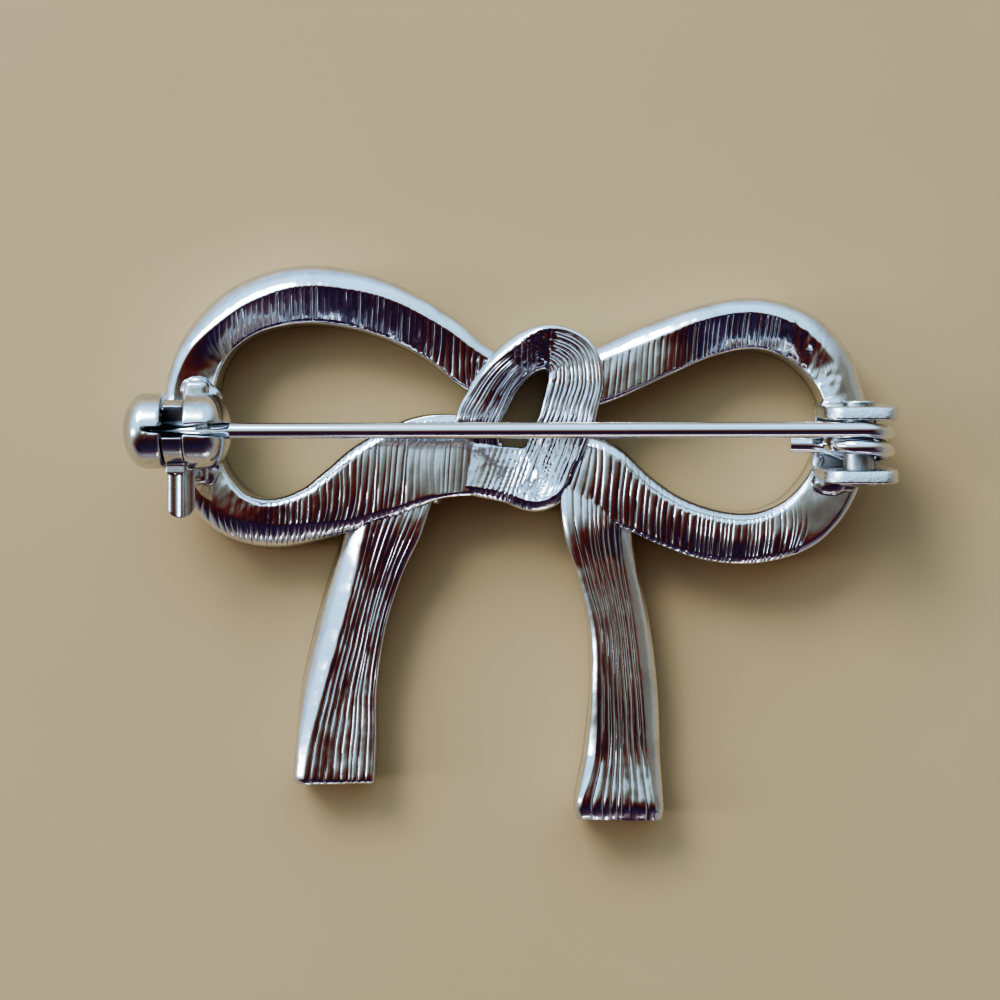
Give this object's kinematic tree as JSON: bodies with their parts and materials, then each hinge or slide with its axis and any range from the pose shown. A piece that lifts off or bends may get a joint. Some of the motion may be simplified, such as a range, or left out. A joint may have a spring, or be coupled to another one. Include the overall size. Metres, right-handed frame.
{
  "type": "bow brooch",
  "caption": "Cast metal bow brooch lying face down, with a sprung wire pin on a riveted hinge and a barrel catch with a turning lever.",
  "frame": {"origin": "middle of the outline, on the surface that the brooch's front lies on", "axes": "+X along the pin towards its hinge, +Y towards the tops of the loops, +Z away from the surface, out of the brooch's back"},
  "size_m": [0.0433, 0.0323, 0.0084],
  "materials": {
    "plated_casting": "silver-tone plating over a cast zinc alloy, bright on the edges and darker in the cast grooves",
    "plated_rivet": "silver-tone plating over steel",
    "plated_wire": "bright silver-tone plating over drawn steel wire",
    "plated_rotor": "bright silver-tone plating over pressed steel"
  },
  "bodies": {
    "frame": {"bow_frame": "plated_casting", "hinge_rivet": "plated_rivet"},
    "pin": {"pin_stem": "plated_wire"},
    "rotor": {"catch_rotor": "plated_rotor"}
  },
  "joints": [
    {"name": "pin_swing", "type": "hinge", "parent": "frame", "child": "pin", "pos_m": [0.0195, 0.00573, 0.00638], "axis": [0, 1, 0], "range_deg": [0, 100]},
    {"name": "catch_turn", "type": "hinge", "parent": "frame", "child": "rotor", "pos_m": [-0.01879, 0.00646, 0.00625], "axis": [-1, 0, 0], "range_deg": [0, 90]}
  ]
}
